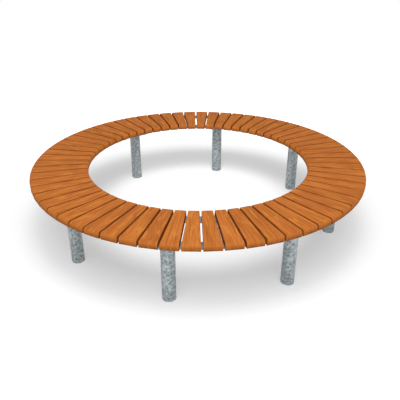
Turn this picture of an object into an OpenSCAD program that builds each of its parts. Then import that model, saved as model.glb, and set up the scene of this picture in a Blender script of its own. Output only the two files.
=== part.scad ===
// Round tree bench: a ring of tapered hardwood slats on two rolled steel rings,
// carried by galvanised tube legs that stand under the middle of the seat.
// The origin is on the ground at the centre of the tree opening, with +Z up.
// Angles are counted from -Y, where the first leg stands, towards +X.
// Seen from above the ring is divided into equal sections, each from one leg to the next.

/* [Seat ring] */
// Diameter across the outer ends of the slats
outer_d = 2080; // [1900:10:2400]
// Depth of the seat, which is the length of a slat
seat_depth = 345; // [300:5:400]
// Height of the sitting surface above the ground
seat_h = 445; // [380:5:520]
// Number of sections, which is also the number of legs
section_count = 8; // [6:1:8]
// Number of slats in each section
slats_per_section = 8; // [6:1:8]

/* [Slats] */
// Thickness of a slat
slat_t = 38; // [30:1:45]
// Gap between two slats, the same from the inner end to the outer end
slat_gap = 10; // [5:0.5:16]
// Radius that rounds the sitting surface down over both ends of a slat
end_round_r = 16; // [6:1:22]
// Radius that rounds both ends of a slat under to its underside
end_under_r = 6; // [2:1:8]
// Radius of the two long top edges
edge_round_r = 4; // [1:0.5:6]
// Bevel on the upright corners of a slat
corner_bevel = 2; // [1:0.5:6]
// Free play of a rail in the groove across the slat's underside
groove_play = 0.5; // [0.3:0.1:2]

/* [Rails] */
// Width of the flat bar that both rings are rolled from
rail_w = 60; // [40:5:80]
// Thickness of the flat bar
rail_t = 8; // [5:1:10]
// Distance from a slat's end to the nearest edge of a rail
rail_setback = 18; // [12:1:40]
// Gap between the ends of two rails, on the middle of an arm
rail_joint = 2; // [1:0.5:6]

/* [Arms] */
// Thickness of the plate that each arm is cut from
arm_t = 10; // [6:1:12]
// Distance from a rail's outer edge to the end of the arm below it
arm_inset = 4; // [2:1:12]
// Corner radius at the ends of an arm
arm_corner_r = 12; // [4:1:20]
// Rim of the arm's round pad outside the leg
pad_rim = 9; // [7:1:14]
// Hole over the leg's hollow that lets zinc and air through when the frame is dipped
vent_d = 14; // [8:1:18]
// Distance from the leg's axis to that hole, which lies out of sight below a slat
vent_offset = 18; // [14:1:20]

/* [Legs] */
// Outer diameter of the leg tube
leg_d = 76.1; // [60:0.1:90]
// Wall of the leg tube
leg_wall = 3.2; // [2:0.1:5]
// Leg length of the weld between the tube and the arm
weld_leg = 5; // [3:0.5:6]
// Wall left square at the top of the tube, which is bevelled outside it for the weld
root_face = 1; // [0.5:0.5:2]

/* [Slat screws] */
// Shank diameter of the screws that come up through the rails
screw_d = 5; // [4:0.5:6]
// Diameter of a screw's head
screw_head_d = 11; // [8:0.5:13]
// Height of a screw's head
screw_head_h = 3.2; // [2:0.2:5]
// Width across the flats of the key socket in the head
screw_socket_w = 4; // [3:0.5:5]
// Wood left above the point of a screw
screw_cover = 5; // [3:1:10]
// Least distance from an arm's edge to the head of a screw
screw_arm_gap = 1.5; // [1:0.5:4]

/* [Rail bolts] */
// Thread diameter of the countersunk bolts that hold the rails to the arms
bolt_d = 8; // [6:1:10]
// Diameter of the countersunk head
bolt_head_d = 16; // [14:0.5:20]
// Distance from the middle line of an arm to a bolt
bolt_offset = 15; // [14:0.5:20]
// Width across the flats of the key socket in the countersunk head
bolt_socket_w = 5; // [4:0.5:6]
// Length of bolt that stands out below the nut
bolt_tail = 4; // [2:0.5:8]
// Bevel round the end of a bolt
bolt_bevel = 1; // [0.5:0.5:1.5]
// Diameter of a washer
washer_d = 16; // [14:0.5:20]
// Thickness of a washer
washer_t = 1.6; // [1:0.1:3]
// Width across the flats of a nut
nut_w = 13; // [12:0.5:17]
// Height of a nut
nut_h = 6.4; // [5:0.1:9]

/* [Hidden] */
$fn = 48;
// Facets of a full turn on the large rings, where the default would be coarse
ring_fn = 360;
// Overrun of every cut past the face that it opens
over = 2;
// Free play of a screw or bolt in its hole
screw_play = 0.6;
bolt_play = 0.5;
// Play of a screw in the wood and of a bolt in its nut, which the threads take up
thread_play = 0.1;
// Depth of the key sockets, as a share of the head that holds them
socket_share = 0.6;
// Length of a screw's point, as a share of its diameter
point_share = 1.2;
// Radius of the flat on top of a screw's domed head, as a share of the head's radius
dome_share = 0.7;

section_angle = 360 / section_count;
slat_angle = section_angle / slats_per_section;
half_angle = slat_angle / 2;
outer_r = outer_d / 2;
// Radius of the tree opening
inner_r = outer_r - seat_depth;
leg_ring_r = (outer_r + inner_r) / 2;
leg_r = leg_d / 2;
leg_inner_r = leg_r - leg_wall;

// The slats, the rails and the tops of the arms meet in one level plane
seat_under_z = seat_h - slat_t;
rail_top_z = seat_under_z + rail_t;
arm_under_z = seat_under_z - arm_t;

inner_rail_r = inner_r + rail_setback + rail_w / 2;
outer_rail_r = outer_r - rail_setback - rail_w / 2;
rail_rs = [inner_rail_r, outer_rail_r];

arm_inner_r = inner_rail_r - rail_w / 2 + arm_inset;
arm_outer_r = outer_rail_r + rail_w / 2 - arm_inset;

// Half the width of a slat at the radius r, with parallel gaps between all slats
function slat_half_w(r) = r * tan(half_angle) - slat_gap / 2 / cos(half_angle);

// Half the width of an arm at the radius r: its edges pass the heads of the nearest screws
function arm_half_w(r) = r * tan(half_angle) - screw_head_d / 2 - screw_arm_gap;

// How far an arc of radius r falls back from its crown over half a slat's width
function arc_drop(r) = r - sqrt(r * r - pow(slat_half_w(r), 2));

// The angles at which the legs and the slats of one section lie
function leg_angle(i) = section_angle * (i - 1);
function slat_angles(i) =
    [for (n = [0:slats_per_section - 1]) leg_angle(i) + slat_angle * (n + 0.5)];

// Turns a shape that is drawn along +X, outwards from the centre, to an angle of the ring
module at_angle(a) rotate([0, 0, a - 90]) children();

// Rounds the corners of a shape whose sides are straight: a circle sits in each
// corner and a polygon runs from one tangent point to the next
module rounded_outline(corners, r) {
    n = len(corners);
    function unit(v) = v / norm(v);
    function to_next(i) = unit(corners[(i + 1) % n] - corners[i]);
    function to_last(i) = unit(corners[(i + n - 1) % n] - corners[i]);
    function half_turn(i) = acos(to_next(i) * to_last(i)) / 2;
    function along(i, dir) = corners[i] + dir * r / tan(half_turn(i));
    function centre(i) =
        corners[i] + unit(to_next(i) + to_last(i)) * r / sin(half_turn(i));
    polygon([for (i = [0:n - 1]) each [along(i, to_last(i)), along(i, to_next(i))]]);
    for (i = [0:n - 1]) translate(centre(i)) circle(r);
}

// A slat seen from its long side: radius to the right, height up from the underside,
// with both ends rounded over and under and a groove for each rail
module slat_side_view() {
    round_z = slat_t - end_round_r;
    difference() {
        union() {
            translate([inner_r, end_under_r]) square([seat_depth, round_z - end_under_r]);
            translate([inner_r + end_under_r, 0])
                square([seat_depth - 2 * end_under_r, round_z]);
            translate([inner_r + end_round_r, 0])
                square([seat_depth - 2 * end_round_r, slat_t]);
            for (r = [inner_r + end_round_r, outer_r - end_round_r])
                translate([r, round_z]) circle(end_round_r);
            for (r = [inner_r + end_under_r, outer_r - end_under_r])
                translate([r, end_under_r]) circle(end_under_r);
        }
        for (r = rail_rs) {
            near = r - rail_w / 2;
            far = r + rail_w / 2;
            start = near - arc_drop(near) - groove_play;
            translate([start, -over]) square([far + groove_play - start, rail_t + over]);
        }
    }
}

// One long edge of a slat in cross-section: its side is at zero and the wood to the left
module slat_edge_view() {
    w = 4 * slat_half_w(outer_r);
    translate([-w, 0]) square([w, slat_t - edge_round_r]);
    translate([-w, 0]) square([w - edge_round_r, slat_t]);
    translate([-edge_round_r, slat_t - edge_round_r]) circle(edge_round_r);
}

// The wood on one side of a gap, with the top edge along the gap rounded
module slat_edge() {
    rotate([0, 0, half_angle]) translate([inner_r - over, -slat_gap / 2, 0])
        rotate([90, 0, 90]) linear_extrude(seat_depth + 3 * over) slat_edge_view();
}

// A slat from above, with bevelled corners, left wider than the gaps will cut it
module slat_plan() {
    wi = slat_half_w(inner_r);
    wo = slat_half_w(outer_r);
    past = corner_bevel + over;
    side = [
        [inner_r, wi - corner_bevel], [inner_r + past, wi + over],
        [outer_r - past, wo + over], [outer_r, wo - corner_bevel]
    ];
    polygon([
        each side,
        for (i = [len(side) - 1:-1:0]) [side[i].x, -side[i].y]
    ]);
}

module slat() {
    wo = slat_half_w(outer_r);
    difference() {
        intersection() {
            translate([0, 2 * wo, 0]) rotate([90, 0, 0])
                linear_extrude(4 * wo) slat_side_view();
            slat_edge();
            mirror([0, 1, 0]) slat_edge();
            linear_extrude(slat_t) slat_plan();
        }
        for (r = rail_rs) translate([r, 0, -over])
            cylinder(d = screw_d + 2 * thread_play, h = slat_t - screw_cover + over);
    }
}

// The slats of one section
module section_slats(i) {
    color([0.76, 0.45, 0.22]) translate([0, 0, seat_under_z])
        for (a = slat_angles(i)) at_angle(a) slat();
}

// A pan-head screw, point up, with its head's seat at zero
module slat_screw() {
    l = slat_t - screw_cover;
    point = screw_d * point_share;
    r = screw_d / 2;
    head_r = screw_head_d / 2;
    difference() {
        rotate_extrude() polygon([
            [0, l], [r, l - point], [r, 0], [head_r, 0],
            [head_r, -screw_head_h / 2], [head_r * dome_share, -screw_head_h],
            [0, -screw_head_h]
        ]);
        translate([0, 0, -screw_head_h - over])
            cylinder(d = screw_socket_w / cos(30), $fn = 6,
                h = screw_head_h * socket_share + over);
    }
}

// The screws of one section, two to a slat, driven up through the rails
module section_screws(i) {
    color([0.72, 0.73, 0.75]) translate([0, 0, seat_under_z])
        for (a = slat_angles(i), r = rail_rs) at_angle(a) translate([r, 0, 0]) slat_screw();
}

// Places a shape at both ends of a rail of section i, where it is bolted to the arms
module at_rail_ends(i, r) {
    at_angle(leg_angle(i)) translate([r, bolt_offset, 0]) children();
    at_angle(leg_angle(i + 1)) translate([r, -bolt_offset, 0]) children();
}

// A countersunk bolt, with the flat top of its head at zero
module rail_bolt() {
    l = rail_t + arm_t + washer_t + nut_h + bolt_tail;
    h = (bolt_head_d - bolt_d) / 2;
    r = bolt_d / 2;
    difference() {
        rotate_extrude() polygon([
            [0, 0], [bolt_head_d / 2, 0], [r, -h], [r, bolt_bevel - l],
            [r - bolt_bevel, -l], [0, -l]
        ]);
        translate([0, 0, -h * socket_share])
            cylinder(d = bolt_socket_w / cos(30), $fn = 6, h = h * socket_share + over);
    }
}

// The seat of its head in a rail, with the same slope and run on past the top face
module bolt_seat() {
    h = (bolt_head_d - bolt_d) / 2;
    translate([0, 0, -h]) cylinder(d1 = bolt_d, d2 = bolt_head_d + 2 * over, h = h + over);
}

// One section of a ring, rolled on edge from flat bar, let into the slats from below
module rail(i, r) {
    joint_angle = asin(rail_joint / 2 / r);
    color([0.6, 0.62, 0.64]) difference() {
        at_angle(leg_angle(i) + joint_angle)
            rotate_extrude(angle = section_angle - 2 * joint_angle, $fn = ring_fn)
                translate([r - rail_w / 2, seat_under_z]) square([rail_w, rail_t]);
        for (a = slat_angles(i)) at_angle(a) translate([r, 0, seat_under_z - over])
            cylinder(d = screw_d + screw_play, h = rail_t + 2 * over);
        at_rail_ends(i, r) {
            translate([0, 0, seat_under_z - over])
                cylinder(d = bolt_d + bolt_play, h = rail_t + 2 * over);
            translate([0, 0, rail_top_z]) bolt_seat();
        }
    }
}

// An arm: a tapered plate cut out with a round pad for the leg and holes for the bolts
module arm(i) {
    wi = arm_half_w(arm_inner_r);
    wo = arm_half_w(arm_outer_r);
    plan = [
        [arm_inner_r, -wi], [arm_outer_r, -wo], [arm_outer_r, wo], [arm_inner_r, wi]
    ];
    color([0.58, 0.6, 0.62]) at_angle(leg_angle(i)) translate([0, 0, arm_under_z])
        difference() {
            linear_extrude(arm_t) {
                rounded_outline(plan, arm_corner_r);
                translate([leg_ring_r, 0]) circle(leg_r + pad_rim);
            }
            translate([leg_ring_r, vent_offset, -over])
                cylinder(d = vent_d, h = arm_t + 2 * over);
            for (r = rail_rs, side = [-1, 1]) translate([r, side * bolt_offset, -over])
                cylinder(d = bolt_d + bolt_play, h = arm_t + 2 * over);
        }
}

// A leg: a straight tube from the ground to the underside of its arm, bevelled at the top
module leg(i) {
    color([0.58, 0.61, 0.63]) at_angle(leg_angle(i)) translate([leg_ring_r, 0, 0])
        rotate_extrude() polygon([
            [leg_inner_r, 0], [leg_r, 0], [leg_r, arm_under_z - weld_leg],
            [leg_inner_r + root_face, arm_under_z], [leg_inner_r, arm_under_z]
        ]);
}

// The welds that fill each leg's bevel and join the leg to its arm
module arm_welds() {
    color([0.5, 0.52, 0.54]) for (i = [1:section_count])
        at_angle(leg_angle(i)) translate([leg_ring_r, 0, arm_under_z])
            rotate_extrude() polygon([
                [leg_inner_r + root_face, 0], [leg_r + weld_leg, 0], [leg_r, -weld_leg]
            ]);
}

// Places a shape at every bolt of the ring, at the height z
module at_bolts(z) {
    for (i = [1:section_count], r = rail_rs, side = [-1, 1])
        at_angle(leg_angle(i)) translate([r, side * bolt_offset, z]) children();
}

module rail_bolts() {
    color([0.72, 0.73, 0.75]) at_bolts(rail_top_z) rail_bolt();
}

module rail_washers() {
    color([0.7, 0.71, 0.73]) at_bolts(arm_under_z - washer_t) difference() {
        cylinder(d = washer_d, h = washer_t);
        translate([0, 0, -over])
            cylinder(d = bolt_d + bolt_play, h = washer_t + 2 * over);
    }
}

module rail_nuts() {
    color([0.7, 0.71, 0.73]) at_bolts(arm_under_z - washer_t - nut_h) difference() {
        cylinder(d = nut_w / cos(30), h = nut_h, $fn = 6);
        translate([0, 0, -over])
            cylinder(d = bolt_d + 2 * thread_play, h = nut_h + 2 * over);
    }
}

for (i = [1:section_count]) {
    section_slats(i);
    section_screws(i);
    rail(i, inner_rail_r);
    rail(i, outer_rail_r);
    arm(i);
    leg(i);
}
arm_welds();
rail_bolts();
rail_washers();
rail_nuts();
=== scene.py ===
# %% [markdown]
# # A tree bench of tapered slats
#
# The real bench is a ring that stands round a tree. Sixty-four hardwood slats lie like
# the keys of a round piano on two rings of flat steel bar, the bars are bolted to eight
# steel arms, and each arm is welded on a short galvanised tube that stands on the ground.
#
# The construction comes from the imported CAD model, which is loaded as a fixed frame. This
# script gives it its looks: timber with grain, zinc with its frost-like spangle, soft light
# and the viewing angle. Everything is in metres, with the ground at zero height.

# %% Load the frame
import math

import bmesh
import bpy
import numpy as np
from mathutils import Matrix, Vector


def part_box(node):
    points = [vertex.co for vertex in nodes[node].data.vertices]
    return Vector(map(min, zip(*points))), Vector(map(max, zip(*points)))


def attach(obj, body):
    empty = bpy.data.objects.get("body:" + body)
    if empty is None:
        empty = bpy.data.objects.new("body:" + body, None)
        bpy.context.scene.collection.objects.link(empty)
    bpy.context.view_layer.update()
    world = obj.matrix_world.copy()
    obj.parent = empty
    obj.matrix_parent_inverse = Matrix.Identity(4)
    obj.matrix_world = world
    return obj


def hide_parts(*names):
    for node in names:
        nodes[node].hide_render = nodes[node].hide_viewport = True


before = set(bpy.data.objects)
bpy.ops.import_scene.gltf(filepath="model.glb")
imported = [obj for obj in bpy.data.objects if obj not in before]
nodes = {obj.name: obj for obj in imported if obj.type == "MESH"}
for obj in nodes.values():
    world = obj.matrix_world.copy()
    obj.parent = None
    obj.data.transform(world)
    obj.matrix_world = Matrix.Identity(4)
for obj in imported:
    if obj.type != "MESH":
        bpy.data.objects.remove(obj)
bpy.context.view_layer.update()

# %% [markdown]
# ## Camera
#
# The bench is seen from a standing person's height, a little to the right of one leg. The
# lens could be guessed and the view nudged by eye. Here the foot of each leg and the ends of
# the slats were measured in the picture instead, and one least-squares fit gave the distance,
# the height, the tilt and the lens together, so the ellipses of the ring fall in place.

# %% Camera
CAMERA_AZIMUTH = math.radians(10.22)
CAMERA_DISTANCE = 2.9528
CAMERA_HEIGHT = 1.6538
CAMERA_TILT = math.radians(27.053)
CAMERA_TURN = 0.00436
LENS_MM = 44.39
SENSOR_MM = 36.0


def turned(points, angle):
    """Points turned about the vertical axis: x and y mix by the angle's cosine and sine."""
    points = np.asarray(points, float)
    cosine, sine = np.cos(angle), np.sin(angle)
    x, y = points[..., 0], points[..., 1]
    return np.stack([cosine * x - sine * y, sine * x + cosine * y, points[..., 2]], -1)


camera_data = bpy.data.cameras.new("camera")
camera_data.lens = LENS_MM
camera_data.sensor_width = SENSOR_MM
camera = bpy.data.objects.new("camera", camera_data)
bpy.context.scene.collection.objects.link(camera)
flat = math.cos(CAMERA_TILT)
forward = [math.sin(CAMERA_TURN) * flat, math.cos(CAMERA_TURN) * flat, -math.sin(CAMERA_TILT)]
view = Vector(turned(forward, CAMERA_AZIMUTH))
camera.location = turned([0.0, -CAMERA_DISTANCE, CAMERA_HEIGHT], CAMERA_AZIMUTH)
camera.rotation_euler = view.to_track_quat("-Z", "Y").to_euler()
bpy.context.scene.camera = camera
print("camera at", [round(v, 3) for v in camera.location])

# %% [markdown]
# ## Helpers for materials and meshes
#
# A finish is a small network of nodes. One function adds a node, sets what it says and
# links what it is given, so a material reads like a recipe. Colours are written as sRGB
# hex, as a colour picker shows them, and one function turns them to the linear values
# that the renderer counts in.
#
# A mesh starts as whole arrays of points and faces. One function merges the points that
# fall together, shades the mesh, and puts it in the frame in place of a plainer CAD node.

# %% Helpers for materials
def colour(code):
    """sRGB hex to linear: below 0.04045 divide by 12.92, above it ((c + 0.055) / 1.055) ^ 2.4."""
    srgb = np.array([int(code[i:i + 2], 16) for i in (1, 3, 5)]) / 255
    linear = np.where(srgb <= 0.04045, srgb / 12.92, ((srgb + 0.055) / 1.055) ** 2.4)
    return (*linear.tolist(), 1.0)


def add(tree, kind, inputs=(), **settings):
    """A new node: settings are its properties, and inputs its sockets' values or links."""
    made = tree.nodes.new("ShaderNode" + kind)
    for name, value in settings.items():
        setattr(made, name, value)
    for socket, value in dict(inputs).items():
        if isinstance(value, bpy.types.NodeSocket):
            tree.links.new(value, made.inputs[socket])
        else:
            made.inputs[socket].default_value = value
    return made


def new_material(name):
    """An empty material and its tree."""
    material = bpy.data.materials.new(name)
    material.use_nodes = True
    material.node_tree.nodes.clear()
    return material, material.node_tree


def per_metre(size_mm):
    """A pattern scale: how many features of this size fit in one metre."""
    return 1000.0 / size_mm


# Sockets of the colour kind of Mix node, which has a set of sockets for each kind of value
MIX_A, MIX_B, MIX_OUT = 6, 7, 2
# Sockets of the Map Range node: the span that a value comes from, and the span it goes to,
# which is 0 to 1 where a recipe doesn't say
FROM_LOW, FROM_HIGH, TO_LOW, TO_HIGH = 1, 2, 3, 4
print("white:", colour("#ffffff"), "a 20 mm pattern:", per_metre(20), "per metre")

# %% Helpers for meshes
MERGE_WITHIN = 1e-6
SLIVER = 1e-7
SMOOTH_UNDER = 35.0


def finish_piece(name, mesh, material, replaced):
    """A closed mesh object that rides on the bench and stands for CAD nodes.

    Points that fall together are merged, so a grid may fold onto itself at a seam or a
    step, and edges that turn by more than SMOOTH_UNDER degrees are kept sharp.
    """
    work = bmesh.new()
    work.from_mesh(mesh)
    bmesh.ops.remove_doubles(work, verts=work.verts, dist=MERGE_WITHIN)
    bmesh.ops.dissolve_degenerate(work, edges=work.edges, dist=SLIVER)
    open_edges = sum(not edge.is_manifold for edge in work.edges)
    work.to_mesh(mesh)
    work.free()
    mesh.shade_smooth()
    mesh.set_sharp_from_angle(angle=math.radians(SMOOTH_UNDER))
    mesh.materials.append(material)
    made = bpy.data.objects.new(name, mesh)
    bpy.context.scene.collection.objects.link(made)
    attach(made, "root")
    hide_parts(*replaced)
    print(name, len(mesh.vertices), "points,", open_edges, "open edges")
    return made


def piece(name, points, faces, material, replaced):
    """A finished piece from an array of points and an array of four-sided faces."""
    mesh = bpy.data.meshes.new(name)
    mesh.from_pydata(np.asarray(points).reshape(-1, 3), [], np.asarray(faces).reshape(-1, 4))
    return finish_piece(name, mesh, material, replaced)


def tube_faces(rows, columns, wrap_rows=False):
    """Quads between neighbouring points of a grid whose columns close on themselves."""
    grid = np.arange(rows * columns).reshape(rows, columns)
    grid = np.concatenate([grid, grid[:, :1]], 1)
    if wrap_rows:
        grid = np.concatenate([grid, grid[:1]], 0)
    corners = [grid[:-1, :-1], grid[:-1, 1:], grid[1:, 1:], grid[1:, :-1]]
    return np.stack(corners, -1).reshape(-1, 4)


print("a grid of 3 by 8 points closes into", len(tube_faces(3, 8)), "quads")

# %% [markdown]
# ## Timber: iroko, planed and oiled
#
# The slats are an oiled tropical hardwood such as iroko: warm orange-brown, with straight
# grain along each slat. Ribbons and streaks run with the grain, fine pores draw short dark
# lines, and here and there a paler patch as long as a hand is wide glows more orange, with
# ends that are almost crisp. The oil leaves only a dull sheen, so the colour stays the same
# from a low angle. Painted light makes the upper part of the rounded ends a little paler,
# painted shade makes their lowest part darker, and painted shade darkens the gaps' sides.
#
# A picture of planks would be the quick way. Here the grain is solid: each slat carries
# the coordinates of its own block of wood as an attribute, long way first, and noise is
# stretched along that way. The boards are sawn so that the layers stand upright, so the
# streaks on top run on over the rounded ends and down them.

# %% Timber: the bare wood
RIBBON_MM = 16.0
STREAK_MM = 5.5
# Real pores are about 0.3 mm wide, and are drawn as coarse as they need to be to show
PORE_MM = 2.6
PATCH_MM = 24.0


def along(tree, block, stretch, size_mm, detail, roughness):
    """Noise in the block of wood, drawn out along the grain by stretch times its width."""
    place = add(tree, "Mapping", {"Vector": block, "Scale": (1 / stretch, 1, 1)})
    noise = add(tree, "TexNoise", {
        "Vector": place.outputs[0], "Scale": per_metre(size_mm),
        "Detail": detail, "Roughness": roughness})
    return noise.outputs[0]


def bare_wood(tree, block, streaks, pores):
    """The colour of the wood: ribbons and streaks, then glowing patches, then dark pores."""
    tone = add(tree, "Attribute", attribute_name="tone").outputs["Fac"]
    ribbons = along(tree, block, 12, RIBBON_MM, 1.0, 0.4)
    patches = along(tree, block, 4, PATCH_MM, 1.0, 0.4)

    # Ribbons and streaks together run from the darker to the paler wood
    both = add(tree, "Math", {0: ribbons, 1: 0.5, 2: streaks}, operation="MULTIPLY_ADD")
    shift = add(tree, "Math", {0: tone, 1: 0.04, 2: both.outputs[0]}, operation="MULTIPLY_ADD")
    spread = add(tree, "MapRange", {0: shift.outputs[0], FROM_LOW: 0.6, FROM_HIGH: 0.9})
    wood = add(tree, "Mix", {
        0: spread.outputs[0], MIX_A: colour("#a95f28"), MIX_B: colour("#c87635")},
        data_type="RGBA")
    glow = add(tree, "MapRange", {0: patches, FROM_LOW: 0.61, FROM_HIGH: 0.68, TO_HIGH: 0.7})
    warm = add(tree, "Mix", {
        0: glow.outputs[0], MIX_A: wood.outputs[MIX_OUT], MIX_B: colour("#cf8136")},
        data_type="RGBA")
    pits = add(tree, "MapRange", {0: pores, FROM_LOW: 0.6, FROM_HIGH: 0.78, TO_HIGH: 0.45})
    surface = add(tree, "Mix", {
        0: pits.outputs[0], MIX_A: warm.outputs[MIX_OUT], MIX_B: colour("#935126")},
        data_type="RGBA")
    return surface.outputs[MIX_OUT]


print("grain: ribbons", RIBBON_MM, "streaks", STREAK_MM, "pores", PORE_MM, "mm")

# %% Timber: painted light and shade on the ends, painted shade in the gaps
SEAT_TOP = 0.445
# Depths below the top, in metres, between which each painted light or shade comes or goes
PAINTED_LIGHT_COMES = (0.002, 0.012)
PAINTED_LIGHT_GOES = (0.018, 0.028)
PAINTED_SHADE_COMES = (0.026, 0.037)
PAINTED_LIGHT_SHARE = 0.6
PAINTED_SHADE_SHARE = 0.35
GAP_SHADE_SHARE = 0.4


def wood_with_painted_light_and_shade(tree, wood):
    """The wood's colour made paler at the ends by painted light, then darker by painted shade low
    on the ends and in the gaps.
    """
    in_gap = add(tree, "Attribute", attribute_name="in_gap").outputs["Fac"]
    at_end = add(tree, "Attribute", attribute_name="at_end").outputs["Fac"]
    here = add(tree, "TexCoord").outputs["Object"]
    height = add(tree, "SeparateXYZ", {0: here}).outputs["Z"]
    below = add(tree, "Math", {0: SEAT_TOP, 1: height}, operation="SUBTRACT").outputs[0]
    # Painted light: on the rounded ends, a band from 2 to 28 mm below the top is mixed towards a
    # paler orange.
    start = add(tree, "MapRange", {
        0: below, FROM_LOW: PAINTED_LIGHT_COMES[0], FROM_HIGH: PAINTED_LIGHT_COMES[1], TO_HIGH: PAINTED_LIGHT_SHARE})
    stop = add(tree, "MapRange", {
        0: below, FROM_LOW: PAINTED_LIGHT_GOES[0], FROM_HIGH: PAINTED_LIGHT_GOES[1], TO_LOW: 1, TO_HIGH: 0})
    painted = add(tree, "Math", {0: start.outputs[0], 1: stop.outputs[0]}, operation="MULTIPLY")
    pale = add(tree, "Math", {0: painted.outputs[0], 1: at_end}, operation="MULTIPLY")
    lit_ends = add(tree, "Mix", {
        0: pale.outputs[0], MIX_A: wood, MIX_B: colour("#db813a")}, data_type="RGBA")
    # Painted shade: the lowest part of the rounded ends, from 26 mm below the top down, is mixed
    # towards dark brown.
    low = add(tree, "MapRange", {
        0: below, FROM_LOW: PAINTED_SHADE_COMES[0], FROM_HIGH: PAINTED_SHADE_COMES[1], TO_HIGH: PAINTED_SHADE_SHARE})
    shaded_low = add(tree, "Math", {0: low.outputs[0], 1: at_end}, operation="MULTIPLY")
    # Painted shade: the sides down in the gaps are mixed towards the same dark brown.
    dark = add(tree, "Math", {0: in_gap, 1: GAP_SHADE_SHARE, 2: shaded_low.outputs[0]},
               operation="MULTIPLY_ADD")
    shaded = add(tree, "Mix", {
        0: dark.outputs[0], MIX_A: lit_ends.outputs[MIX_OUT], MIX_B: colour("#6b3c1e")},
        data_type="RGBA")
    return shaded.outputs[MIX_OUT]


print("ends rubbed paler from", PAINTED_LIGHT_COMES[0], "to", PAINTED_LIGHT_GOES[1], "m below the top")

# %% Timber: the oiled surface
def oiled_iroko():
    """Wood with painted light and shade and a dull sheen: duller in the pores, and with a faint
    relief of streaks.
    """
    material, tree = new_material("iroko_planed_and_oiled")
    block = add(tree, "Attribute", attribute_name="block").outputs["Vector"]
    streaks = along(tree, block, 24, STREAK_MM, 2.0, 0.6)
    pores = along(tree, block, 16, PORE_MM, 1.0, 0.5)
    wood = wood_with_painted_light_and_shade(tree, bare_wood(tree, block, streaks, pores))
    relief = add(tree, "Bump", {"Height": streaks, "Strength": 0.25, "Distance": 0.0006})
    dull = add(tree, "MapRange", {
        0: pores, FROM_LOW: 0.3, FROM_HIGH: 0.7, TO_LOW: 0.62, TO_HIGH: 0.8})
    shader = add(tree, "BsdfPrincipled", {
        "Base Color": wood, "Roughness": dull.outputs[0],
        "Specular IOR Level": 0.05, "Normal": relief.outputs[0]})
    add(tree, "OutputMaterial", {"Surface": shader.outputs[0]})
    return material


TIMBER = oiled_iroko()
print("timber nodes:", len(TIMBER.node_tree.nodes))

# %% [markdown]
# ## The slats
#
# Each slat is a wedge of a circle with parallel saw cuts at its sides, so every gap is
# 10 mm wide from end to end. Its long edges are rounded over, its ends are rounded over
# and under in the side view, and two grooves underneath drop over the rings. Blocks with a
# Bevel modifier would be quick, but the wide round at the ends and the grooves would fight
# it. So the slat is a profile carried along the radius: at each station the formula gives
# the half width, the height of the top and the height of the underside.

# %% Sizes of the slats
SECTIONS = 8
SLATS_PER_SECTION = 8
SLAT_ANGLE = math.radians(360 / SECTIONS / SLATS_PER_SECTION)
OUTER_RADIUS = 1.040
INNER_RADIUS = 0.695
SLAT_THICK = 0.038
SLAT_GAP = 0.010
END_ROUND = 0.016
END_UNDER = 0.006
CORNER = 0.002
EDGE_ROUND = 0.004
EASE = 0.0008
RAIL_THICK = 0.008
RAIL_WIDTH = 0.060
RING_RADII = (0.743, 0.992)
GROOVE_PLAY = 0.0005
GROOVE_CLEAR = 0.0001
GROOVE_DEPTH = RAIL_THICK + GROOVE_CLEAR
seat_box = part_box("slats_1")
SEAT_UNDER = seat_box[0].z
print("slat underside at", round(SEAT_UNDER, 4), "top at", round(seat_box[1].z, 4))

# %% Stations along a slat
END_TURN = np.linspace(0, np.pi / 2, 10)
# A station this near to a ring's inner edge belongs to the first wall of that ring's groove
NEAR_WALL = 0.004


def quarter(distance, radius):
    """How far a rounded edge has drawn back: radius - sqrt(radius^2 - (radius - distance)^2)."""
    near = np.clip(distance, 0, radius)
    return radius - np.sqrt(radius ** 2 - (radius - near) ** 2)


def from_end(r):
    """How far a place at the distance r from the axis is from the slat's nearer end."""
    return np.minimum(r - INNER_RADIUS, OUTER_RADIUS - r)


def slat_stations():
    """Distances from the axis: close together where the ends round off, and a pair of
    equal ones at each wall of a groove, with the underside's height before and after."""
    rounds = np.array([END_ROUND, END_UNDER, CORNER])
    ends = np.unique(np.round(np.outer(rounds, 1 - np.cos(END_TURN)), 6))
    between = np.linspace(INNER_RADIUS, OUTER_RADIUS, 8)[1:-1]
    r = np.concatenate([INNER_RADIUS + ends, between, OUTER_RADIUS - ends])
    under = np.zeros_like(r)
    for ring in RING_RADII:
        near, far = ring - RAIL_WIDTH / 2, ring + RAIL_WIDTH / 2
        # The ring is an arc, so at the slat's sides it starts this much before its middle line
        drop = near * (1 - math.cos(SLAT_ANGLE / 2))
        start, stop = near - drop - GROOVE_PLAY, far + GROOVE_PLAY
        under[(r > start) & (r < stop)] = GROOVE_DEPTH
        r = np.append(r, [start, start, stop, stop])
        under = np.append(under, [0, GROOVE_DEPTH, GROOVE_DEPTH, 0])
    # The order along the radius, and at a wall the height that belongs to its side first
    first_walls = np.array(RING_RADII) - RAIL_WIDTH / 2
    rising = np.any(abs(r[:, None] - first_walls) < NEAR_WALL, axis=1)
    order = np.lexsort((np.where(rising, under, -under), r))
    return r[order], under[order]


radii = slat_stations()[0]
print("stations:", len(radii), "pairs at the grooves' walls:", int((np.diff(radii) == 0).sum()))

# %% One slat as a surface
EDGE_TURN = np.linspace(0, np.pi / 2, 6)


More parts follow.
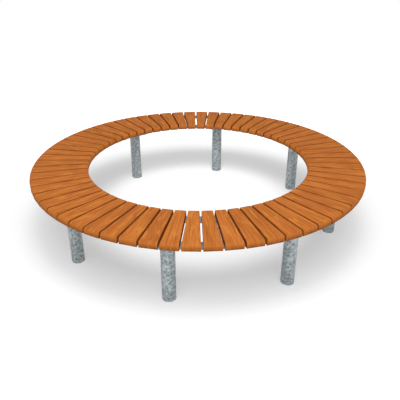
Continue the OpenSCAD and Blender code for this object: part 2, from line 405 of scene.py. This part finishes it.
def slat_surface():
    """One slat, lying along x: half width = r tan(half angle) - half gap / cos(half angle),
    less the corner's round. Towards both ends the top falls as a quarter circle, and the
    underside rises as a smaller one. The long edges turn as a quarter circle too."""
    r, under = slat_stations()
    half = SLAT_ANGLE / 2
    end = from_end(r)
    wide = r * math.tan(half) - SLAT_GAP / 2 / math.cos(half) - quarter(end, CORNER)
    top = SLAT_THICK - quarter(end, END_ROUND)
    under = np.maximum(under, quarter(end, END_UNDER))
    turn = EDGE_TURN[:, None]
    shoulder = np.full_like(r, GROOVE_DEPTH + EASE)
    y = np.vstack([[wide - EASE, wide, wide], wide - EDGE_ROUND * (1 - np.cos(turn))]).T
    z = np.vstack([[under, under + EASE, shoulder], top - EDGE_ROUND * (1 - np.sin(turn))]).T
    loop_y = np.concatenate([y, -y[:, ::-1]], 1)
    loop_z = np.concatenate([z, z[:, ::-1]], 1)
    loop_x = np.repeat(r[:, None], loop_y.shape[1], 1)
    return np.stack([loop_x, loop_y, loop_z], -1)


SLAT = slat_surface()
print("one slat:", SLAT.shape[0], "stations of", SLAT.shape[1], "points")

# %% [markdown]
# The two sawn ends are closed with a face each, set in by a narrow rim, so that the smooth
# shading of the round dies out within the rim and the end itself stays flat. Each slat
# also gets its block coordinates, moved to a place of its own in the noise, and a tone,
# because no two boards come from the same spot of a log. Two more values say how far a
# point is on a side, where the gaps get painted shade, and how far it is on a rounded end,
# where the ends get painted light and shade. The block's depth counts a fifth, which is how
# upright layers look: they change slowly with depth, and fast from side to side.

# %% Rims, and shares of side and end
RIM_SHARE = 0.15
FADE = 0.006


def end_rim(outline):
    """The inner points of one end's rim: a small share of the way in to the middle."""
    return outline + (outline.mean(0) - outline) * RIM_SHARE


# The side share masks the painted shade in the gaps, and the end share the painted light and
# shade on the ends.
def side_share(grid):
    """How far a point is on a side: 1 below the rounded edge, falling as 1 - sin(turn) over
    the round to 0 on top, and fading out over the last 6 mm towards each end."""
    down = np.concatenate([np.ones(3), 1 - np.sin(EDGE_TURN)])
    return np.concatenate([down, down[::-1]]) * np.clip(from_end(grid[..., 0]) / FADE, 0, 1)


def end_share(grid):
    """How far a point is at an end: 1 over the round, fading out 6 mm behind it."""
    return np.clip((END_ROUND + FADE - from_end(grid[..., 0])) / FADE, 0, 1)


print("share of a slat's points that lie at its ends:", round(float(end_share(SLAT).mean()), 2))

# %% All the slats
draw = np.random.default_rng(20)
# Each slat's block lies within this many metres of the noise's middle, in each direction
LOG_REACH = 8.0
LAYER_DEPTH = 5.0


def section_of_slats(section):
    """Points and faces of one section's slats, and the values that the points carry."""
    columns = SLAT.shape[1]
    grid = np.concatenate([end_rim(SLAT[0])[None], SLAT, end_rim(SLAT[-1])[None]])
    rows = len(grid)
    quads = tube_faces(rows, columns)
    caps = [np.arange(columns)[::-1], np.arange(columns) + (rows - 1) * columns]
    sides = np.tile(side_share(grid).ravel(), SLATS_PER_SECTION)
    ends = np.tile(end_share(grid).ravel(), SLATS_PER_SECTION) * (1 - sides)
    wood = (grid - [0, 0, SLAT_THICK]) / [1, 1, LAYER_DEPTH] + [0, 0, SLAT_THICK]
    points, faces, block, tones = [], [], [], []
    for n in range(SLATS_PER_SECTION):
        angle = 2 * np.pi * (section - 1) / SECTIONS + SLAT_ANGLE * (n + 0.5) - np.pi / 2
        base = n * rows * columns
        place = turned(grid, angle) + [0, 0, SEAT_UNDER]
        points.append(place.reshape(-1, 3))
        faces += (quads + base).tolist() + [(cap + base).tolist() for cap in caps]
        block.append(wood.reshape(-1, 3) + draw.uniform(-LOG_REACH, LOG_REACH, 3))
        tones.append(np.full(rows * columns, draw.uniform(-1, 1)))
    carried = {"block": np.concatenate(block), "tone": np.concatenate(tones),
               "in_gap": sides, "at_end": ends}
    return np.concatenate(points), faces, carried


for section in range(1, SECTIONS + 1):
    points, faces, carried = section_of_slats(section)
    mesh = bpy.data.meshes.new(f"boards_{section}")
    mesh.from_pydata(points, [], faces)
    for name, values in carried.items():
        kind, field = ("FLOAT_VECTOR", "vector") if values.ndim == 2 else ("FLOAT", "value")
        mesh.attributes.new(name, kind, "POINT").data.foreach_set(field, values.ravel())
    finish_piece(f"boards_{section}", mesh, TIMBER, [f"slats_{section}"])

# %% [markdown]
# ## Zinc: hot-dip galvanised steel
#
# The legs, the arms and the rings were dipped in molten zinc. As it sets, the zinc grows
# crystals: grey flakes 12 to 24 mm across, with paler borders that wind about them like
# frost, all dulled to blue-grey outdoors. It is a metal under a skin of oxide, so it counts
# as half metallic here and mirrors nothing sharp. Voronoi cells bent by noise give the
# flakes, the distance to a cell's edge draws the pale borders, and a finer noise specks
# them. The same recipe serves tube and bar, with the size of the flakes and the tones as
# its values.

# %% Galvanised finishes
def galvanised(name, flake_mm, dark, middle, pale, rough):
    """Spangle: bent cells with pale borders, and specks, choose between three zincs."""
    material, tree = new_material(name)
    here = add(tree, "TexCoord").outputs["Object"]
    bend = add(tree, "TexNoise", {"Vector": here, "Scale": per_metre(flake_mm), "Detail": 1.0})
    bent = add(tree, "VectorMath", {0: bend.outputs["Color"], 1: (flake_mm / 1000,) * 3, 2: here},
               operation="MULTIPLY_ADD")
    cells = add(tree, "TexVoronoi", {"Vector": bent.outputs[0], "Scale": per_metre(flake_mm)},
                feature="DISTANCE_TO_EDGE")
    border = add(tree, "MapRange", {
        0: cells.outputs["Distance"], FROM_LOW: 0.02, FROM_HIGH: 0.26, TO_LOW: 1, TO_HIGH: 0})
    worms = add(tree, "TexNoise", {
        "Vector": bent.outputs[0], "Scale": per_metre(flake_mm * 0.8), "Detail": 1.0,
        "Distortion": 0.8})
    fine = add(tree, "TexNoise", {
        "Vector": here, "Scale": per_metre(flake_mm * 0.28), "Detail": 2.0})
    mottle = add(tree, "Math", {0: border.outputs[0], 1: 0.34, 2: worms.outputs[0]},
                 operation="MULTIPLY_ADD")
    grit = add(tree, "Math", {0: fine.outputs[0], 1: 0.4, 2: mottle.outputs[0]},
               operation="MULTIPLY_ADD").outputs[0]
    low = add(tree, "MapRange", {0: grit, FROM_LOW: 0.6, FROM_HIGH: 0.86})
    high = add(tree, "MapRange", {0: grit, FROM_LOW: 0.86, FROM_HIGH: 1.12})
    lower = add(tree, "Mix", {0: low.outputs[0], MIX_A: colour(dark), MIX_B: colour(middle)},
                data_type="RGBA")
    zinc = add(tree, "Mix", {
        0: high.outputs[0], MIX_A: lower.outputs[MIX_OUT], MIX_B: colour(pale)},
        data_type="RGBA")
    relief = add(tree, "Bump", {"Height": grit, "Strength": 0.3, "Distance": 0.0005})
    shader = add(tree, "BsdfPrincipled", {
        "Base Color": zinc.outputs[MIX_OUT], "Metallic": 0.5, "Roughness": rough,
        "Normal": relief.outputs[0]})
    add(tree, "OutputMaterial", {"Surface": shader.outputs[0]})
    return material


TUBE_ZINC = galvanised("galvanised_steel_tube", 24.0, "#879093", "#a2abae", "#c7d0d2", 0.5)
BAR_ZINC = galvanised("galvanised_flat_bar", 12.0, "#747f87", "#8a959e", "#a8b3b9", 0.45)
print("zinc:", TUBE_ZINC.name, BAR_ZINC.name)

# %% [markdown]
# ## The legs
#
# Each leg is a length of round tube, 76.1 mm across with a 3.2 mm wall, square at the foot
# and bevelled at the top for its weld. In the frame the CAD's tube shows flat facets, so
# the same outline is turned here about the leg's axis in finer steps, with the sawn edges
# at its foot eased.

# %% Legs
LEG_RADIUS = 0.03805
BORE_RADIUS = LEG_RADIUS - 0.0032
LEG_RING_RADIUS = (OUTER_RADIUS + INNER_RADIUS) / 2
ARM_UNDER = 0.397
WELD_LEG = 0.005
ROOT_FACE = 0.001
TUBE_STEPS = 96


def turned_profile(profile, steps, centre):
    """A closed outline of (radius, height) turned about an upright axis at centre:
    x = radius cos(angle), y = radius sin(angle), and the height stays."""
    angles = np.linspace(0, 2 * np.pi, steps, endpoint=False)
    radius, height = np.asarray(profile, float).T
    x = radius[:, None] * np.cos(angles)
    y = radius[:, None] * np.sin(angles)
    z = np.repeat(height[:, None], steps, 1)
    return np.stack([x, y, z], -1) + centre


def leg_place(number):
    """The axis of a leg on the ground: R sin(angle), -R cos(angle)."""
    angle = 2 * np.pi * (number - 1) / SECTIONS
    return np.array([LEG_RING_RADIUS * np.sin(angle), -LEG_RING_RADIUS * np.cos(angle), 0])


LEG_OUTLINE = [
    (BORE_RADIUS, ARM_UNDER), (BORE_RADIUS, EASE), (BORE_RADIUS + EASE / 2, EASE / 4),
    (BORE_RADIUS + EASE, 0), (LEG_RADIUS - EASE, 0), (LEG_RADIUS - EASE / 4, EASE / 4),
    (LEG_RADIUS, EASE), (LEG_RADIUS, ARM_UNDER - WELD_LEG),
    (BORE_RADIUS + ROOT_FACE, ARM_UNDER)]
for number in range(1, SECTIONS + 1):
    points = turned_profile(LEG_OUTLINE, TUBE_STEPS, leg_place(number))
    faces = tube_faces(len(LEG_OUTLINE), TUBE_STEPS, wrap_rows=True)
    piece(f"tube_{number}", points, faces, TUBE_ZINC, [f"leg_{number}"])

# %% [markdown]
# ## The welds
#
# A welder laid one bead round the top of each leg before it went into the zinc. A bead is
# a row of overlapping puddles: its face swells and sinks a little with each of them. The
# bead's closed outline is carried round the tube, and its face is pushed out by a sine
# wave whose count comes from the puddles' 4 mm spacing.

# %% Welds
PUDDLE = 0.004
BEAD_STEPS = 360
BEAD_POINTS = 7
BEAD_SWELL = 0.0003
BEAD_ROOT = 0.002
PUDDLE_RIPPLE = 0.00025
HAND_WAVES = 5
HAND_RIPPLE = 0.00015


def bead_surface():
    """A fillet round the leg, closed inside the tube's wall: its face runs in a straight
    line from tube to arm, pushed out square to it by the swell and the ripples times
    sin(pi t). One ripple comes with each puddle, and a slower one from the welder's hand."""
    angles = np.linspace(0, 2 * np.pi, BEAD_STEPS, endpoint=False)
    puddles = round(2 * np.pi * LEG_RADIUS / PUDDLE)
    ripple = PUDDLE_RIPPLE * np.sin(puddles * angles)
    ripple = ripple + HAND_RIPPLE * np.sin(HAND_WAVES * angles + 1)
    t = np.linspace(0, 1, BEAD_POINTS)
    swell = np.sin(np.pi * t)
    out = LEG_RADIUS + WELD_LEG * t
    up = ARM_UNDER - WELD_LEG * (1 - t)
    push = (BEAD_SWELL + ripple[None, :]) * swell[:, None] / math.sqrt(2)
    root = np.full((1, BEAD_STEPS), LEG_RADIUS - BEAD_ROOT)
    radius = np.concatenate([out[:, None] + push, root])
    height = np.concatenate([up[:, None] - push, np.full((1, BEAD_STEPS), ARM_UNDER)])
    return np.stack([radius * np.cos(angles), radius * np.sin(angles), height], -1)


BEAD = bead_surface()
bead_faces = tube_faces(*BEAD.shape[:2], wrap_rows=True)
points = np.concatenate([(BEAD + leg_place(n)).reshape(-1, 3) for n in range(1, SECTIONS + 1)])
faces = np.concatenate([bead_faces + n * BEAD.shape[0] * BEAD_STEPS for n in range(SECTIONS)])
piece("weld_beads", points, faces, BAR_ZINC, ["arm_welds"])

# %% [markdown]
# ## Fastenings: zinc-plated steel
#
# The bolts, washers, nuts and screws are electroplated: a thin, even and brighter zinc,
# with no crystals to be seen, only a faint cloudiness in its tint and its gloss.

# %% Zinc-plated finish
def zinc_plated():
    """Bright plated steel, with a slight cloud in its tint and its gloss."""
    material, tree = new_material("zinc_plated_fastenings")
    here = add(tree, "TexCoord").outputs["Object"]
    cloud = add(tree, "TexNoise", {"Vector": here, "Scale": per_metre(6), "Detail": 2.0})
    tint = add(tree, "Mix", {
        0: cloud.outputs[0], MIX_A: colour("#b4b8ba"), MIX_B: colour("#d8dad8")},
        data_type="RGBA")
    gloss = add(tree, "MapRange", {
        0: cloud.outputs[0], FROM_LOW: 0.3, FROM_HIGH: 0.7, TO_LOW: 0.25, TO_HIGH: 0.42})
    shader = add(tree, "BsdfPrincipled", {
        "Base Color": tint.outputs[MIX_OUT], "Metallic": 0.9, "Roughness": gloss.outputs[0]})
    add(tree, "OutputMaterial", {"Surface": shader.outputs[0]})
    return material


PLATED = zinc_plated()
print("plating:", PLATED.name)

# %% [markdown]
# ## Finishes on the CAD's own pieces
#
# The rings, the arms and the fastenings are exact in the CAD model, down to the
# countersinks and the hexagon sockets, so their meshes stay and only take a finish.

# %% Dress the CAD nodes
FINISH_OF = {
    "inner_rail": BAR_ZINC, "outer_rail": BAR_ZINC, "arm": BAR_ZINC,
    "rail_bolts": PLATED, "rail_washers": PLATED, "rail_nuts": PLATED, "slat_screws": PLATED}
dressed = 0
for name, node in nodes.items():
    kind = name.rstrip("_0123456789")
    if node.hide_render or kind not in FINISH_OF:
        continue
    node.data.materials.clear()
    node.data.materials.append(FINISH_OF[kind])
    dressed += 1
print("CAD nodes dressed:", dressed, "replaced:", sum(n.hide_render for n in nodes.values()))

# %% [markdown]
# ## Light
#
# The bench stands on a white sweep in a light tent. One lamp hangs above, a little to the
# camera's side, a second and much wider one hangs far out in front, and the tent itself
# glows all round. Together they light an upward face at a level where a colour shows as it
# is written.
#
# The lamps' places were worked out from the shadow. It is crisp and dark right under the
# seat and has a wide soft edge as well, which one lamp alone doesn't give. Trial lamps were
# rendered one by one, and a least-squares fit chose the two whose shadows add up to it.

# %% Lamps
def hang_lamp(name, forward, height, radius, share):
    """A disc of light facing down. Power P gives a white ground P h^2 / (pi^2 d^4) at the
    distance d, so P = share pi^2 d^4 / h^2 gives this share of full light."""
    data = bpy.data.lights.new(name, "AREA")
    data.shape = "DISK"
    data.size = 2 * radius
    data.energy = share * math.pi ** 2 * (height ** 2 + forward ** 2) ** 2 / height ** 2
    made = bpy.data.objects.new(name, data)
    made.location = turned([0.0, -forward, height], CAMERA_AZIMUTH)
    made.visible_camera = False
    bpy.context.scene.collection.objects.link(made)
    print(name, round(data.energy, 1), "W")


hang_lamp("lamp_above", forward=1.5, height=4.0, radius=0.8, share=0.24)
hang_lamp("lamp_in_front", forward=8.0, height=12.0, radius=4.5, share=0.288)

# %% Tent
TENT_SHARE = 0.47


def seen_directly(tree):
    """1 for camera, glossy and transmission rays, and 0 for the rest."""
    path = add(tree, "LightPath").outputs
    some = add(tree, "Math", {0: path["Is Camera Ray"], 1: path["Is Glossy Ray"]},
               operation="MAXIMUM")
    return add(tree, "Math", {0: some.outputs[0], 1: path["Is Transmission Ray"]},
               operation="MAXIMUM").outputs[0]


world = bpy.data.worlds.new("light_tent")
bpy.context.scene.world = world
world.use_nodes = True
world_tree = world.node_tree
world_tree.nodes.clear()
glow = add(world_tree, "Background", {"Color": colour("#ffffff"), "Strength": TENT_SHARE})
white = add(world_tree, "Background", {"Color": colour("#ffffff"), "Strength": 1.0})
tent = add(world_tree, "MixShader", {
    0: seen_directly(world_tree), 1: glow.outputs[0], 2: white.outputs[0]})
add(world_tree, "OutputWorld", {"Surface": tent.outputs[0]})
print("the tent gives", TENT_SHARE, "of full light")

# %% [markdown]
# ## The ground
#
# The ground shows the camera pure white with the bench's soft shadow in it. To other light
# it is a duller white, as a paper sweep is, so that it doesn't flood the underside. The
# paper glows up to pure white away from the bench, and a painted pool of light turns it
# pure white in the middle of the opening.

# %% Ground
GROUND_HALF = 6.0
GROUND_WHITE = "#e0e1e2"
GROUND_DULL = "#b6b6b6"
GROUND_GLOW = 0.313
FAR_GLOW = 1.2
FADE_FROM, FADE_TO = 1.2, 2.6
# A painted pool of light in the opening: its middle, its reach and its strength
OPENING_MIDDLE = (0.0, 0.33, 0.0)
OPENING_FROM, OPENING_TO = 0.4, 0.85
OPENING_PAINTED_LIGHT = 0.151


def paper_sweep():
    """White for the camera with a shadow in it, and a duller white for other light. The
    paper's glow rises smoothly away from the bench, and painted light towards the middle of the
    opening."""
    material, tree = new_material("white_paper_sweep")
    here = add(tree, "TexCoord").outputs["Object"]
    far = add(tree, "VectorMath", {0: here}, operation="LENGTH").outputs["Value"]
    lift = add(tree, "MapRange", {
        0: far, FROM_LOW: FADE_FROM, FROM_HIGH: FADE_TO, TO_LOW: GROUND_GLOW, TO_HIGH: FAR_GLOW},
        interpolation_type="SMOOTHSTEP")
    # Painted light: within 0.4 to 0.85 m of a point in the opening the ground is lifted towards
    # pure white.
    middle = tuple(turned(OPENING_MIDDLE, CAMERA_AZIMUTH))
    off = add(tree, "VectorMath", {0: here, 1: middle}, operation="DISTANCE").outputs["Value"]
    opening = add(tree, "MapRange", {
        0: off, FROM_LOW: OPENING_FROM, FROM_HIGH: OPENING_TO, TO_LOW: OPENING_PAINTED_LIGHT, TO_HIGH: 0},
        interpolation_type="SMOOTHSTEP")
    glow = add(tree, "Math", {0: lift.outputs[0], 1: opening.outputs[0]}, operation="ADD")
    own = add(tree, "Emission", {"Color": colour("#ffffff"), "Strength": glow.outputs[0]})
    lit = add(tree, "BsdfDiffuse", {"Color": colour(GROUND_WHITE)})
    shown = add(tree, "AddShader", {0: lit.outputs[0], 1: own.outputs[0]})
    dull = add(tree, "BsdfDiffuse", {"Color": colour(GROUND_DULL)})
    both = add(tree, "MixShader", {
        0: seen_directly(tree), 1: dull.outputs[0], 2: shown.outputs[0]})
    add(tree, "OutputMaterial", {"Surface": both.outputs[0]})
    return material


corners = GROUND_HALF * np.array([[-1, -1, 0], [1, -1, 0], [1, 1, 0], [-1, 1, 0]])
ground_mesh = bpy.data.meshes.new("ground")
ground_mesh.from_pydata(corners, [], [(0, 1, 2, 3)])
ground_mesh.materials.append(paper_sweep())
ground = bpy.data.objects.new("ground", ground_mesh)
bpy.context.scene.collection.objects.link(ground)
print("ground", 2 * GROUND_HALF, "m wide")

# %% [markdown]
# ## Colour management
#
# The Standard view shows colours as they are written.

# %% Finish
bpy.context.scene.view_settings.view_transform = "Standard"
